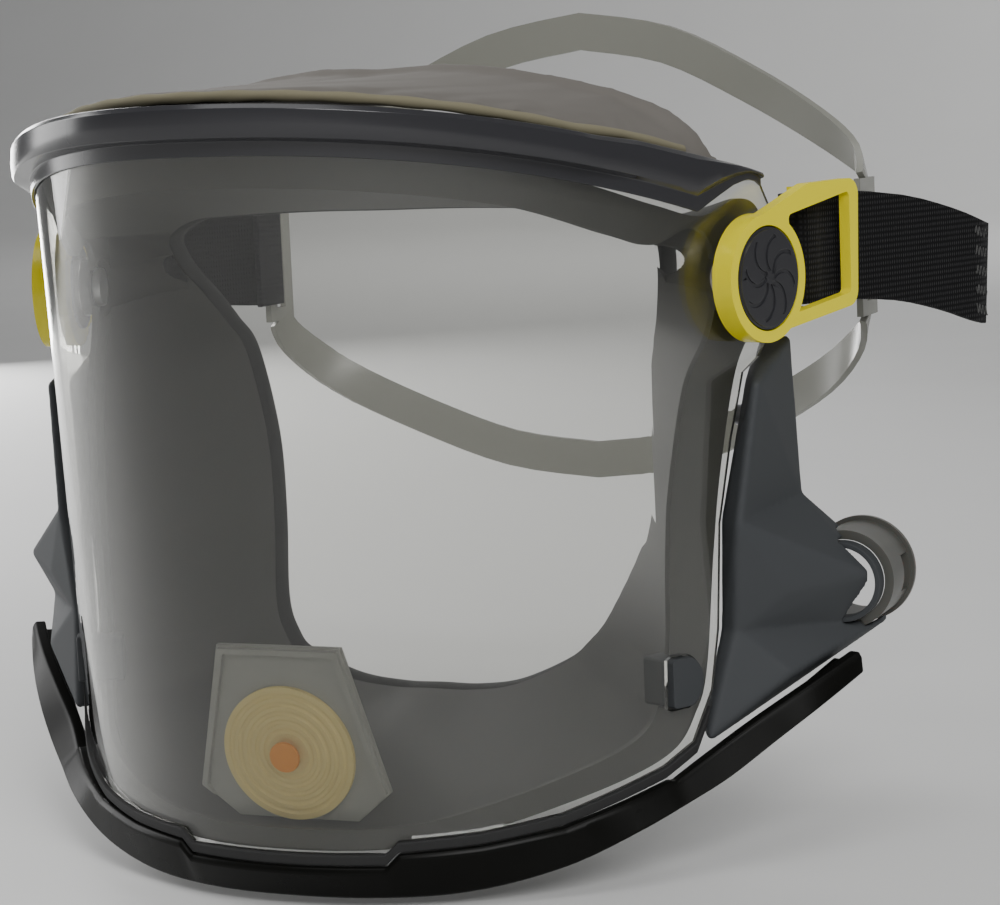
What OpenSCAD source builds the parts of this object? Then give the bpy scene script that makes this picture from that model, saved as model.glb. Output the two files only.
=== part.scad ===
// Full-face visor with a head harness, for a powered air respirator.
// Origin midway between the two temple pivots, +Z up, the wearer faces -Y, +X is the wearer's left.

/* [Visor] */
// Half of the distance between the two temple pivots
pivot_half_w = 100; // [80:1:125]
// Wrap angle, from the middle of the face, at which the visor meets the pivots
pivot_angle = 63.2; // [58:0.1:68]
// How far the visor stands in front of the pivots, at pivot height
visor_reach = 106; // [85:1:130]
// Reach gained for each millimetre up
visor_lean = 0.16; // [0:0.01:0.2]
// Thickness of the clear visor
visor_t = 2; // [1.5:0.1:2.4]
// Height of the visor's top edge above the pivots, in the middle
visor_top = 40; // [32:1:50]
// Depth of the visor's bottom edge below the pivots, in the middle
visor_drop = 136.4; // [130:0.5:150]

/* [Brow] */
// How far the brow rim stands out in front of the visor's inner face
rim_out = 8; // [5:0.5:12]
// Height of the brow rim over the visor's top edge
rim_h = 11.5; // [9:0.5:14]
// Radius of the forehead roll
roll_r = 4; // [3:0.5:6]
// Height of the forehead roll's crest above the pivots
roll_z = 54; // [48:1:62]

/* [Face opening] */
// Wall of the inner face frame
frame_t = 2.2; // [1.6:0.1:3]
// Depth of the soft lip behind the face frame
lip_depth = 10; // [6:1:14]
// Thickness of the soft lip
lip_t = 4.4; // [3:0.2:6]

/* [Exhalation valve] */
// Radius of the valve membrane
membrane_r = 18.3; // [15:0.1:19]
// Thickness of the valve membrane
membrane_t = 1.2; // [0.8:0.1:2]
// Radius of the valve's centre stud
stud_r = 2.2; // [1.5:0.1:3]
// Number of moulded rings on the membrane
membrane_rings = 5; // [3:1:7]

/* [Temple pivots] */
// Angle by which each pivot axis points forward from square
pivot_tilt = 18; // [10:1:22]
// Radius of the pivot bolt
bolt_r = 3; // [2.5:0.1:4]
// Radius of the fixed bush that the buckle turns on
bush_r = 8; // [6:0.5:10]
// Outer radius of the buckle's ring
ring_r = 17; // [16:0.5:22]
// Radius of the pivot knob
knob_r = 13.5; // [11:0.5:14.5]
// Number of swirled grooves on the knob
knob_grooves = 8; // [6:1:12]

/* [Harness] */
// Width of the elastic strap
strap_w = 30; // [25:1:34]
// Thickness of the elastic strap
strap_t = 1.8; // [1.2:0.1:2.2]
// Distance of the cradle's side plates behind the pivots
plate_y = 128; // [118:1:140]
// Half of the distance between the cradle's side plates
plate_x = 101; // [90:1:104]
// Width of the cradle's bands
band_w = 12; // [9:0.5:15]
// Thickness of the cradle's bands
band_t = 2; // [1.5:0.1:3]
// Height of the crown band above the pivots
crown_z = 70; // [60:1:85]
// Depth of the nape band below the pivots
nape_z = 71; // [60:1:85]

/* [Hose port] */
// Bore radius of the hose port
port_r = 11; // [9:0.5:12]
// Wall of the hose port
port_wall = 2.5; // [2:0.1:3]
// Length of the hose port's bore
port_len = 20; // [16:1:26]

/* [Latches] */
// Width of a latch tab
tab_w = 11; // [9:0.5:13]
// Height of a latch tab
tab_h = 13; // [11:0.5:15]
// Gap round a latch tab in the visor's window
tab_gap = 0.6; // [0.4:0.1:1]

/* [Hidden] */

near = 0.3;        // gap between fixed neighbours that follow a curved face
run = 0.05;        // radial clearance of every turning fit
round_fn = 64;     // facets of plain round parts

// ---- the curved face surface -------------------------------------------------------------------

half_a = pivot_half_w / sin(pivot_angle);
function depth_b(z) = (visor_reach + visor_lean * z) / (1 - cos(pivot_angle));
function wrap(t, z, off = 0) = [
    (half_a + off) * sin(t),
    depth_b(z) * cos(pivot_angle) - (depth_b(z) + off) * cos(t),
    z
];

// Angles from the keys with extra ones so that no step is longer than the given one
function spread(keys, step) = [
    for (i = [0:len(keys) - 2])
        let (n = ceil((keys[i + 1] - keys[i]) / step))
            for (k = [0:n - 1]) keys[i] + (keys[i + 1] - keys[i]) * k / n,
    keys[len(keys) - 1]
];
// Two rising lists as one
function merged(a, b) = len(a) == 0 ? b : len(b) == 0 ? a
    : a[0] < b[0] ? [a[0], each merged(rest(a), b)]
    : a[0] > b[0] ? [b[0], each merged(a, rest(b))] : merged(a, rest(b));
function rest(list) = len(list) < 2 ? [] : [for (i = [1:len(list) - 1]) list[i]];
function both_ways(keys) = [for (i = [len(keys) - 1:-1:1]) -keys[i], each keys];
function column(table, c) = [for (row = table) row[c]];

// Smooth curve through the points, with n steps between neighbours
function curve(p, n, loop = false) = let (m = len(p), last = loop ? m - 1 : m - 2) [
    for (i = [0:last]) let (
        p0 = loop ? p[(i - 1 + m) % m] : p[max(i - 1, 0)],
        p1 = p[i],
        p2 = p[(i + 1) % m],
        p3 = loop ? p[(i + 2) % m] : p[min(i + 2, m - 1)]
    )
        for (k = [0:n - 1]) let (s = k / n)
            0.5 * (2 * p1 + (p2 - p0) * s + (2 * p0 - 5 * p1 + 4 * p2 - p3) * s * s
                + (3 * p1 - p0 - 3 * p2 + p3) * s * s * s),
    if (!loop) p[m - 1]
];
function unit(v) = v / norm(v);

// Solid through a row of equal rings; with loop, the last ring joins the first
module sweep(rings, loop = false) {
    n = len(rings);
    m = len(rings[0]);
    polyhedron(
        points = [for (r = rings) each r],
        faces = [
            if (!loop) [for (j = [m - 1:-1:0]) j],
            if (!loop) [for (j = [0:m - 1]) (n - 1) * m + j],
            for (i = [0:loop ? n - 1 : n - 2]) for (j = [0:m - 1])
                let (a = i * m + j, b = i * m + (j + 1) % m, c = ((i + 1) % n) * m)
                    each [[a, b, c + (j + 1) % m], [a, c + (j + 1) % m, c + j]]
        ]
    );
}

// Solid that follows the face: at each angle, section(t) gives its corners as [offset, height]
module face_band(angles, section) {
    sweep([for (t = angles) [for (q = section(t)) wrap(t, q[1], q[0])]]);
}

// Ribbon along a path: width near upright, thickness across, ring by ring
module ribbon(path, width, thick) {
    n = len(path);
    sweep([for (i = [0:n - 1]) let (
        d = unit(path[min(i + 1, n - 1)] - path[max(i - 1, 0)]),
        side = unit(cross([0, 0, 1], d)),
        up = cross(d, side)
    ) [for (q = [[1, -1], [1, 1], [-1, 1], [-1, -1]])
        path[i] + side * thick / 2 * q[0] + up * width / 2 * q[1]]]);
}

module both_sides(side) { mirror([side < 0 ? 1 : 0, 0, 0]) children(); }

// ---- outlines ----------------------------------------------------------------------------------

ear_head = [[57, visor_top - 20.3], [60, 23.5], [64, 27], [66.5, 24], [68.5, 15], [69.5, 4]];
visor_foot = [
    [0, -visor_drop - 3.3], [14, -visor_drop - 3.3], [15.7, -visor_drop], [25.8, -visor_drop + 1],
    [35.9, -visor_drop + 3.4], [43.8, -visor_drop + 7.8], [49.3, -visor_drop + 11],
    [53.7, -visor_drop + 15.8], [56.7, -108], [58, -92], [58.8, -64], [60.9, -42],
    [63, -25], [65.5, -21.5], [68, -13], [69.5, -4]
];
rim_end = 66;
function head_z(t) = abs(t) < 57 ? visor_top - 20.3 * pow(abs(t) / 57, 2.3) : lookup(abs(t), ear_head);
function foot_z(t) = lookup(abs(t), visor_foot);

// Rim: how far out, and its top, by angle
rim_reach = [[0, rim_out], [43, rim_out], [50, visor_t + 2.6], [66, visor_t + 2.4]];
temple_top = [[45, head_z(45) + rim_h], [50, 37.9], [57, 33.5], [63, 29.8], [66, 27.5]];
face_angles = both_ways(spread(merged(merged(column(visor_foot, 0), column(ear_head, 0)),
    merged(column(rim_reach, 0), column(temple_top, 0))), 4.5));
function rim_top(t) = abs(t) < 45 ? head_z(t) + rim_h : lookup(abs(t), temple_top);

// Inner face frame, half of the way round: [angle, height] at the visor, then the opening's edge
frame_outer = [
    [0, 38], [20, 36], [38, 30], [51, 20], [57, 16], [62, 19.5], [65, 17], [66.2, 8], [65.9, -4],
    [64.4, -13], [61.2, -25], [58.5, -50], [57, -72], [55.5, -100], [53.6, -112], [49.2, -121.8],
    [36, -129.4], [18, -136.6], [0, -137.6]
];
frame_inner = [
    [0, -8, 21], [24, -8, 21], [48, -4, 20], [61, 0, 19], [70, 3.5, 16], [73.6, 5.5, 12.5],
    [74, 8.5, 8.5], [73, 13, 3], [70.5, 20, -4], [67.5, 27, -12.5], [64.5, 33, -22], [62, 39, -48],
    [60, 37, -72], [53, 22, -95], [47, 15.5, -104], [41, 13, -109], [26, 13, -115.5], [12, 15, -118],
    [0, 15, -118]
];
face_mid_z = -48;
function way_round(half, mirror_it) = [
    each half,
    for (i = [len(half) - 2:-1:1]) mirror_it(half[i])
];
flip_first = function(p) [-p[0], each [for (i = [1:len(p) - 1]) p[i]]];
outer_loop = curve(way_round(frame_outer, flip_first), 3, true);
inner_loop = curve(way_round(frame_inner, flip_first), 3, true);
function outward(p) = unit([p[0], 0, p[2] - face_mid_z]);

// ---- front pieces ------------------------------------------------------------------------------

tab_angle = 52.7;
tab_z = -104;
tab_depth = 9; // how far a tab reaches in behind the visor

module tab_outline(gap) {
    intersection() {
        translate([-tab_w / 2 - gap, -tab_h / 2 - gap]) square([tab_w + 2 * gap, tab_h + 2 * gap]);
        translate([-1.5, 0]) circle(r = tab_h / 2 + 0.6 + gap, $fn = round_fn);
    }
}

// Places children on the visor with local Z pointing out of it, local Y up
module on_face(t, z) {
    p = wrap(t, z);
    q = wrap(t + 0.5, z) - wrap(t - 0.5, z);
    translate(p) rotate([0, 0, atan2(q[1], q[0])]) rotate([90, 0, 0]) children();
}

// Places children on a temple pivot with local Z along its axis, local Y up, local X to the rear
module on_pivot() {
    translate([pivot_half_w, 0, 0]) rotate([0, 0, 90 - pivot_tilt]) rotate([90, 0, 0]) children();
}

module visor_shell(gap) {
    face_band(face_angles, function(t) [
        [-gap, foot_z(t) - gap], [visor_t + gap, foot_z(t) - gap],
        [visor_t + gap, head_z(t) + gap], [-gap, head_z(t) + gap]
    ]);
}
module visor() {
    color([0.85, 0.87, 0.86, 0.35]) difference() {
        visor_shell(0);
        for (side = [-1, 1]) both_sides(side) {
            on_face(tab_angle, tab_z) translate([0, 0, -6])
                linear_extrude(14) tab_outline(tab_gap);
            on_pivot() translate([0, 0, -8]) cylinder(r = bush_r + 1, h = 16, $fn = round_fn);
        }
    }
}

// Point on the frame's outline, grown or shrunk about the middle of the face
function outline_at(o, grow, off) = wrap(o[0] * grow, face_mid_z + (o[1] - face_mid_z) * grow, off);

module face_frame() {
    flange_at = [[-138, 0.965], [-110, 0.94], [-60, 0.92]];
    color([0.2, 0.2, 0.2]) difference() {
        sweep([for (i = [0:len(outer_loop) - 1])
            let (o = outer_loop[i], p = inner_loop[i], flange = lookup(o[1], flange_at)) [
            p,
            outline_at(o, 0.985, -6),
            outline_at(o, flange, -5.2),
            outline_at(o, flange, -3.2),
            outline_at(o, 1.02, -0.7),
            outline_at(o, 1.02, -3),
            p + outward(p) * frame_t
        ]], true);
        for (side = [-1, 1]) both_sides(side) {
            on_pivot() translate([0, 0, -30]) cylinder(r = bush_r + 0.5, h = 40, $fn = round_fn);
            on_face(tab_angle, tab_z) translate([0, 0, -20]) linear_extrude(30) tab_outline(near);
        }
    }
}

module face_seal() {
    sides = 8;
    color([0.05, 0.05, 0.05]) sweep([for (p = inner_loop) let (
        out = outward(p),
        mid = p + out * (lip_t / 2 - 0.6) + [0, lip_depth / 2 + near, 0]
    ) [for (k = [0:sides - 1]) let (a = 360 * k / sides + 22.5)
        mid - out * cos(a) * lip_t / 2 + [0, sin(a) * lip_depth / 2, 0]]], true);
}

module brow_frame() {
    angles = [for (t = face_angles) if (abs(t) <= rim_end) t];
    color([0.06, 0.06, 0.07]) face_band(angles, function(t)
        let (
            out = lookup(abs(t), rim_reach),
            in = lookup(abs(t), [[0, -10], [45, -8], [66, -4]]),
            lo = head_z(t) + near,
            h = rim_top(t) - lo,
            lip = visor_t + near
        ) [
            [in, lo], [lip, lo], [lip, lo - 1.4], [lip + 0.9, lo - 1.4], [lip + 0.9, lo + h * 0.22], [out - 0.4, lo + h * 0.32],
            [out, lo + h * 0.6], [out - 0.5, lo + h * 0.9], [out - 1.6, lo + h], [in, lo + h]
        ]);
}

// Forehead roll: [angle on the rim, half width, depth, height] of the roll's middle
roll_line = [
    [0, 0, 2, roll_z], [13, 23, 2, roll_z + 0.5], [26, 46, 2, roll_z - 3], [38, 69, 2, roll_z - 9],
    [47, 83, 3, roll_z - 15.5], [54, 90, 5, roll_z - 23], [60, 93.5, 8, roll_z - 30]
];
module forehead_seal() {
    line = curve(roll_line, 3);
    row = [for (i = [len(line) - 1:-1:1]) [-line[i][0], -line[i][1], line[i][2], line[i][3]],
        each line];
    color([0.26, 0.25, 0.23]) sweep([for (q = row) let (
        front = wrap(q[0], rim_top(q[0]) + 1.8, -9),
        back = [q[1], q[2], q[3]],
        d = unit(back - front),
        n = unit([0, 0, 1] - d * d[2]),
        r = roll_r - 0.8 * pow(abs(q[0]) / 60, 4)
    ) [
        front - n * 1.2,
        back - d * (r + 1) - n * 1.5,
        each [for (a = [-140:40:140]) back + (d * cos(a) + n * sin(a)) * r],
        back - d * (r + 3) + n * 1.5,
        front + n * 1.2
    ]]);
}

module brow_piping() {
    angles = both_ways(spread([0, 58], 4));
    color([0.33, 0.31, 0.24]) face_band(angles, function(t)
        [for (a = [0:60:300]) [-5 + 1.5 * cos(a), rim_top(t) + 1.4 + near + 1.4 * sin(a)]]);
}

module chin_gasket() {
    angles = both_ways(spread([for (k = column(visor_foot, 0)) if (k < 56) k], 5));
    color([0.03, 0.03, 0.03]) face_band(angles, function(t) [
        [-0.4, foot_z(t) - 3], [3.2, foot_z(t) - 3], [3.2, foot_z(t) - near], [-0.4, foot_z(t) - near]
    ]);
}

// Chin cover: [angle, outer ridge offset, ridge height, bottom offset, bottom height]
chin_line = [
    [0, 4, 0, 1, -152], [14, 4, 0, 1.3, -152], [15.7, 4, 0, 1.5, -152], [26, 4, 0, 3, -150.5],
    [36, 4.5, 0, 6, -146], [44, 5.5, 0, 9, -139.5], [50, 6, -129, 11, -134],
    [55, 8, -122.8, 14, -128.5], [60, 13, -115.4, 18, -121], [65, 19, -108.3, 22, -114],
    [70, 25, -101.5, 26, -107]
];
function ridge_z(t) = t < 50 ? foot_z(t) - 3.4 : lookup(t, [for (row = chin_line) [row[0], row[2]]]);
module chin_cover() {
    angles = both_ways(spread(column(chin_line, 0), 4));
    color([0.1, 0.1, 0.09]) face_band(angles, function(t)
        let (
            key = function(c) lookup(abs(t), [for (row = chin_line) [row[0], row[c]]]),
            ridge = ridge_z(abs(t)),
            wall = 3,
            lean = wall * (key(3) - key(1)) / (ridge - key(4))
        ) [
            [key(3) - 10, key(4) + 1], [key(3) - 3, key(4) - 1], [key(3), key(4)],
            [key(1) + 0.6, ridge - 1.5], [key(1) - 0.4, ridge], [key(1) - wall - 0.5, ridge],
            [key(3) - wall - 1 - lean, key(4) + wall], [key(3) - 10, key(4) + wall]
        ]);
}

// ---- side covers -------------------------------------------------------------------------------

module blob(points, r) {
    hull() for (p = points) translate(p) sphere(r = r, $fn = 12);
}
wing_rear_y = 27;
port_x = 122;
port_z = -84;

screw_r = 1.4;
screw_x = 96.8;
screw_y = 12;
screw_heights = [-38, -56];
module side_cover(with_port) {
    r = 1.5;
    edge_top = wrap(64.6, -28, 0.8);
    edge_bend = wrap(60.2, -64, 0.8);
    edge_valley = wrap(59.6, -93, 0.8);
    edge_foot = wrap(56.2, -117.5, 0.8);
    post_top = wrap(62, -28, 9);
    post_bend = wrap(59.6, -64, 7);
    post_rear_top = [107.5, 18, -18.5];
    post_rear = [109, 20, -61];
    shoulder = wrap(64, -83, 13);
    wing_edge = [128.5, 13, -81];
    wing_top = [130, wing_rear_y, -82];
    wing_low = [130, wing_rear_y, -95.5];
    valley = wrap(59.6, -93, 4.5);
    valley_rear = [119, 17, -94];
    foot_front = wrap(55.4, -119, 4.5);
    foot_mid = wrap(63.5, -105, 14);
    foot_rear = [125, 22, -96.5];
    color([0.08, 0.08, 0.09]) difference() {
        union() {
            difference() {
                union() {
                    blob([post_top, post_bend, post_rear_top, post_rear, edge_top, edge_bend,
                        [101, 18, -18.5], [101, 20, -61]], r);
                    blob([post_bend, post_rear, shoulder, wing_edge, wing_top, wing_low, valley_rear,
                        valley, edge_bend, edge_valley, [101, 20, -61], [104, wing_rear_y, -82],
                        [104, wing_rear_y, -95.5]], r);
                    blob([valley, valley_rear, wing_low, foot_rear, foot_mid, foot_front, edge_valley,
                        edge_foot, [104, wing_rear_y, -95.5]], r);
                }
                hull() for (p = [[113, -4, -89], [130.5, 12, -87], [131, 14, -94], [122.5, 10, -94.5],
                    [127.5, 15.5, -88.5], [145, 4, -86], [145, 4, -94], [125, -20, -90]])
                    translate(p) cube(0.5, center = true);
                blob([[101, 4, -34], [103, 14, -30], [100, 4, -62], [103, 14, -62], [101, 4, -90],
                    [104, 14, -94], [92, 14, -34], [92, 14, -94]], 2);
            }
            for (z = screw_heights) translate([screw_x + 0.2, screw_y, z]) rotate([0, 90, 0])
                cylinder(r = screw_r + 1.8, h = 9, $fn = round_fn);
        }
        for (z = screw_heights) translate([screw_x - 5, screw_y, z]) rotate([0, 90, 0])
            cylinder(r = screw_r, h = 11, $fn = round_fn);
        visor_shell(near);
        if (with_port) translate([port_x, port_end - port_len - near, port_z]) rotate([-90, 0, 0]) {
            cylinder(r = port_r + port_wall + near, h = 60, $fn = round_fn);
            translate([0, 0, -duct_len - near]) cylinder(r = port_r + near, h = duct_len + 1, $fn = round_fn);
        }
    }
}
module side_cover_left() { side_cover(true); }
module side_cover_right() { mirror([1, 0, 0]) side_cover(false); }

port_end = wing_rear_y + 13;
duct_len = 5;
module hose_port() {
    lug = [6.5, 10];
    color([0.13, 0.13, 0.13]) translate([port_x, port_end, port_z]) rotate([90, 0, 0])
        difference() {
            union() {
                cylinder(r = port_r + port_wall, h = port_len, $fn = round_fn);
                cylinder(r = port_r + port_wall + 1.2, h = 1.6, $fn = round_fn);
            }
            translate([0, 0, -1]) cylinder(r = port_r, h = port_len + 2, $fn = round_fn);
            translate([port_r - 2, -lug[1] / 2, 2.2]) cube([8, lug[1], lug[0]]);
        }
}

module air_duct() {
    color([0.1, 0.1, 0.1]) translate([port_x, port_end - port_len - near, port_z])
        rotate([90, 0, 0]) difference() {
            cylinder(r = port_r, h = duct_len, $fn = round_fn);
            translate([0, 0, -1]) cylinder(r = port_r - 1.5, h = duct_len + 2, $fn = round_fn);
        }
}

// ---- exhalation valve --------------------------------------------------------------------------

valve_z = -115.5;
valve_back = 10.5;
valve_travel = 1.5; // lift of the membrane
valve_lean = atan(visor_lean);
module on_valve() {
    p = wrap(0, valve_z, -valve_back);
    translate(p) rotate([90 + valve_lean, 0, 0]) children();
}

// Plate outline: wide low down, cut in below to clear the frame's flange
module trapezoid(inset, below = 0) {
    polygon([
        [inset - 27, -10], [inset - 17, inset - 18.5 - below], [17 - inset, inset - 18.5 - below],
        [27 - inset, -10], [17.5 - inset, 29 - inset], [inset - 17.5, 29 - inset]
    ]);
}

module valve_housing() {
    plate_t = 1.6;
    color([0.4, 0.4, 0.38]) on_valve() difference() {
        union() {
            translate([0, 0, -plate_t - 0.4]) linear_extrude(plate_t) trapezoid(0);
            translate([0, 0, -0.5]) linear_extrude(1.4) difference() {
                trapezoid(0.6);
                trapezoid(2.2, 8);
            }
        }
        translate([0, 0, -10]) cylinder(r = membrane_r - 0.5, h = 20, $fn = round_fn);
    }
}

module valve_seat() {
    seat_t = 1.6;
    spokes = 6;
    color([0.75, 0.62, 0.3]) on_valve() translate([0, 0, -seat_t - 0.4]) {
        difference() {
            cylinder(r = membrane_r - 0.5 - near, h = seat_t, $fn = round_fn);
            translate([0, 0, -1]) cylinder(r = membrane_r - 3.5, h = seat_t + 2, $fn = round_fn);
        }
        difference() {
            union() {
                cylinder(r = stud_r + 2, h = seat_t, $fn = round_fn);
                for (k = [0:spokes - 1]) rotate([0, 0, 360 / spokes * k])
                    translate([stud_r + 1, -0.8, 0]) cube([membrane_r - 4 - stud_r, 1.6, seat_t]);
            }
            translate([0, 0, -1]) cylinder(r = stud_r - 0.8, h = seat_t + 2, $fn = round_fn);
        }
    }
}

module valve_membrane() {
    pitch = (membrane_r - stud_r - 4) / membrane_rings;
    color([0.86, 0.75, 0.42, 0.9]) on_valve() translate([0, 0, -0.35]) rotate_extrude($fn = round_fn)
        difference() {
            translate([stud_r + run, 0]) square([membrane_r - stud_r - run, membrane_t]);
            for (k = [0:membrane_rings - 1]) translate([stud_r + 3 + pitch * (k + 0.5), membrane_t + 0.35])
                circle(r = 0.8, $fn = 24);
        }
}

module valve_stud() {
    head_z = membrane_t + valve_travel - 0.2;
    color([0.95, 0.5, 0.15]) on_valve() {
        translate([0, 0, -0.4]) cylinder(r = stud_r, h = head_z + 0.5, $fn = round_fn);
        translate([0, 0, -3]) cylinder(r = stud_r - 0.8 - run, h = 2.7, $fn = round_fn);
        translate([0, 0, head_z]) cylinder(r = stud_r + 1.9, h = 1.2, $fn = round_fn);
    }
}

// ---- latches and temple pivots -----------------------------------------------------------------

module latch_tab(side) {
    color([0.06, 0.06, 0.06]) both_sides(side) on_face(tab_angle, tab_z) translate([0, 0, -tab_depth])
        linear_extrude(tab_depth + visor_t + 1.4) tab_outline(0);
}
module latch_tab_left() { latch_tab(1); }
module latch_tab_right() { latch_tab(-1); }

bush_back = -3;
bush_face = 4;
buckle_z = bush_face + 0.4;
floor_t = 1.8;
ring_t = 6;

module pivot_bush(side) {
    color([0.15, 0.15, 0.15]) both_sides(side) on_pivot() difference() {
        union() {
            translate([0, 0, bush_back]) cylinder(r = bush_r, h = buckle_z + floor_t + 0.3 - bush_back,
                $fn = round_fn);
            translate([0, 0, bush_face - 1.4]) cylinder(r = bush_r + 4, h = 1.5, $fn = round_fn);
        }
        translate([0, 0, bush_back - 4]) cylinder(r = bolt_r + run, h = 30, $fn = round_fn);
    }
}
module pivot_bush_left() { pivot_bush(1); }
module pivot_bush_right() { pivot_bush(-1); }

module pivot_bolt(side) {
    color([0.55, 0.56, 0.58]) both_sides(side) on_pivot() {
        translate([0, 0, bush_back - 0.5]) cylinder(r = bolt_r, h = knob_z + 2.5 - bush_back, $fn = round_fn);
        translate([0, 0, bush_back - 2.7]) cylinder(r = bolt_r + 2.5, h = 2.6, $fn = round_fn);
    }
}
module pivot_bolt_left() { pivot_bolt(1); }
module pivot_bolt_right() { pivot_bolt(-1); }

knob_z = buckle_z + floor_t + 0.6;
module pivot_knob(side) {
    knob_t = 4.2;
    groove_w = 1;
    groove_t = 0.5;
    swing = 6;
    color([0.09, 0.09, 0.1]) both_sides(side) on_pivot() translate([0, 0, knob_z]) difference() {
        union() {
            cylinder(r = knob_r, h = knob_t - 0.6, $fn = round_fn);
            cylinder(r = knob_r - 0.6, h = knob_t, $fn = round_fn);
        }
        translate([0, 0, -1]) cylinder(r = bolt_r + run, h = knob_t - 1, $fn = round_fn);
        for (k = [0:knob_grooves - 1]) rotate([0, 0, 360 / knob_grooves * k])
            translate([swing + 0.8, 1.2, knob_t - groove_t]) linear_extrude(2) intersection() {
                difference() {
                    circle(r = swing, $fn = 32);
                    circle(r = swing - groove_w, $fn = 32);
                }
                translate([-swing, 0]) square([2 * swing - 3, swing]);
            }
    }
}
module pivot_knob_left() { pivot_knob(1); }
module pivot_knob_right() { pivot_knob(-1); }

// Buckle loop, with local X to the rear: its outer edges, its rear bar and the hidden strap bar
loop_back = 43.5;
loop_top = 24.3;
loop_low = 10.5;
loop_bar = 4.4;
loop_arm = 3.6;
loop_lift = 2.7;   // how far the loop stands above the ring's underside
strap_bar_back = 26;
strap_bar_r = 0.9;
strap_bar_gap = 1.6; // room that the strap's loop leaves round the bar
strap_bar_z = 1.2; // height of the strap bar above the visor's inner face
strap_z = 6;

module loop_outline() {
    r = 4.5;
    difference() {
        hull() {
            translate([1, 1]) circle(r = ring_r - 1, $fn = 48);
            for (q = [[20, loop_top - r - 0.4], [loop_back - r, loop_top - r], [loop_back - r - 1, r - loop_low]])
                translate(q) circle(r = r, $fn = 32);
        }
        hull() for (q = [[ring_r - 5.5, ring_r - 2.2], [loop_back - loop_bar - 1.5, loop_top - loop_arm - 1.5],
            [loop_back - loop_bar - 1.5, 1.5 + loop_arm - loop_low], [ring_r - 3, -8.5]])
            translate(q) circle(r = 1.5, $fn = 32);
    }
}
module buckle(side) {
    lug_gap = strap_w / 2 + 0.8;
    lug = 1;
    color([0.95, 0.85, 0.02]) both_sides(side) on_pivot() difference() {
        union() {
            translate([0, 0, buckle_z]) cylinder(r = ring_r, h = ring_t, $fn = 96);
            translate([0, 0, buckle_z + loop_lift]) linear_extrude(ring_t - loop_lift) loop_outline();
            translate([strap_bar_back, strap_z - lug_gap - 0.5, strap_bar_z]) rotate([-90, 0, 0])
                cylinder(r = strap_bar_r, h = 2 * lug_gap + 1, $fn = 24);
            for (y = [strap_z - lug_gap - lug, strap_z + lug_gap])
                translate([strap_bar_back - 2, y, strap_bar_z - strap_bar_r])
                    cube([4, lug, buckle_z + loop_lift + 1 - strap_bar_z + strap_bar_r]);
        }
        cylinder(r = bush_r + run, h = 20, $fn = round_fn);
        translate([0, 0, buckle_z + floor_t]) cylinder(r = knob_r + 0.4, h = 20, $fn = round_fn);
    }
}
module buckle_left() { buckle(1); }
module buckle_right() { buckle(-1); }

// ---- harness -----------------------------------------------------------------------------------

function pivot_place(back, out) = [
    pivot_half_w + back * sin(pivot_tilt) + out * cos(pivot_tilt),
    back * cos(pivot_tilt) - out * sin(pivot_tilt)
];
// Points of a half turn from one layer of a strap to the other, in plan
function half_turn(centre, r, from, to, z) = [
    for (k = [0:6]) let (a = from + (to - from) * k / 6)
        [centre[0] + r * cos(a), centre[1] + r * sin(a), z]
];
slot_w = 6;
module strap(side) {
    bar = pivot_place(strap_bar_back, strap_bar_z);
    wrap_r = strap_bar_r + strap_bar_gap + strap_t / 2;
    slot_r = band_t / 2 + 0.5 + strap_t / 2;
    slot_y = plate_y - slot_w / 2;
    under_in = pivot_place(41, 0.2);
    under_out = pivot_place(41, 0.4 + strap_t + 0.4);
    out_of_turn = pivot_place(strap_bar_back + 4.5, strap_bar_z + wrap_r - 0.5);
    into_turn = pivot_place(strap_bar_back + 4.5, strap_bar_z - wrap_r + 0.2);
    tail = curve([
        [140, 118, -8], [139, 110, -6.5], [134, 94, -2], [126, 70, 3],
        [under_out[0], under_out[1], strap_z], [out_of_turn[0], out_of_turn[1], strap_z]
    ], 3);
    inner = curve([
        [into_turn[0], into_turn[1], strap_z], [under_in[0], under_in[1], strap_z], [118, 70, 4],
        [111, 100, 1.5], [plate_x + slot_r + 0.3, slot_y - 8, 0]
    ], 3);
    color([0.05, 0.05, 0.05]) both_sides(side) ribbon([
        each tail,
        each half_turn(bar, wrap_r, -pivot_tilt, -pivot_tilt - 180, strap_z),
        each inner,
        each half_turn([plate_x, slot_y], slot_r, 0, 180, 0),
        [plate_x - slot_r, slot_y - 16, 0]
    ], strap_w, strap_t);
}
module strap_left() { strap(1); }
module strap_right() { strap(-1); }

crown_line = [
    [plate_x, plate_y, 20], [plate_x - 3, plate_y + 4, 27], [84, plate_y + 11, 37],
    [59, plate_y + 20, 51], [30, plate_y + 26, crown_z - 5.5], [0, plate_y + 28, crown_z]
];
nape_line = [
    [plate_x, plate_y, -20], [plate_x - 3, plate_y + 4, -28], [84, plate_y + 12, -41],
    [59, plate_y + 22, -55], [30, plate_y + 30, -67], [0, plate_y + 32, -nape_z]
];
module cradle_arc(line) {
    half = curve(line, 4);
    path = [each half, for (i = [len(half) - 2:-1:0]) flip_first(half[i])];
    n = len(path);
    sweep([for (i = [0:n - 1]) let (
        d = unit(path[min(i + 1, n - 1)] - path[max(i - 1, 0)]),
        away = unit([path[i][0], sqrt(max(pow(plate_x, 2) - pow(path[i][0], 2), 0)), 0]),
        flat = unit(away - d * (away * d)),
        wide = cross(d, flat)
    ) [for (q = [[1, 1], [1, -1], [-1, -1], [-1, 1]])
        path[i] + flat * band_t / 2 * q[0] + wide * band_w / 2 * q[1]]]);
}
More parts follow.
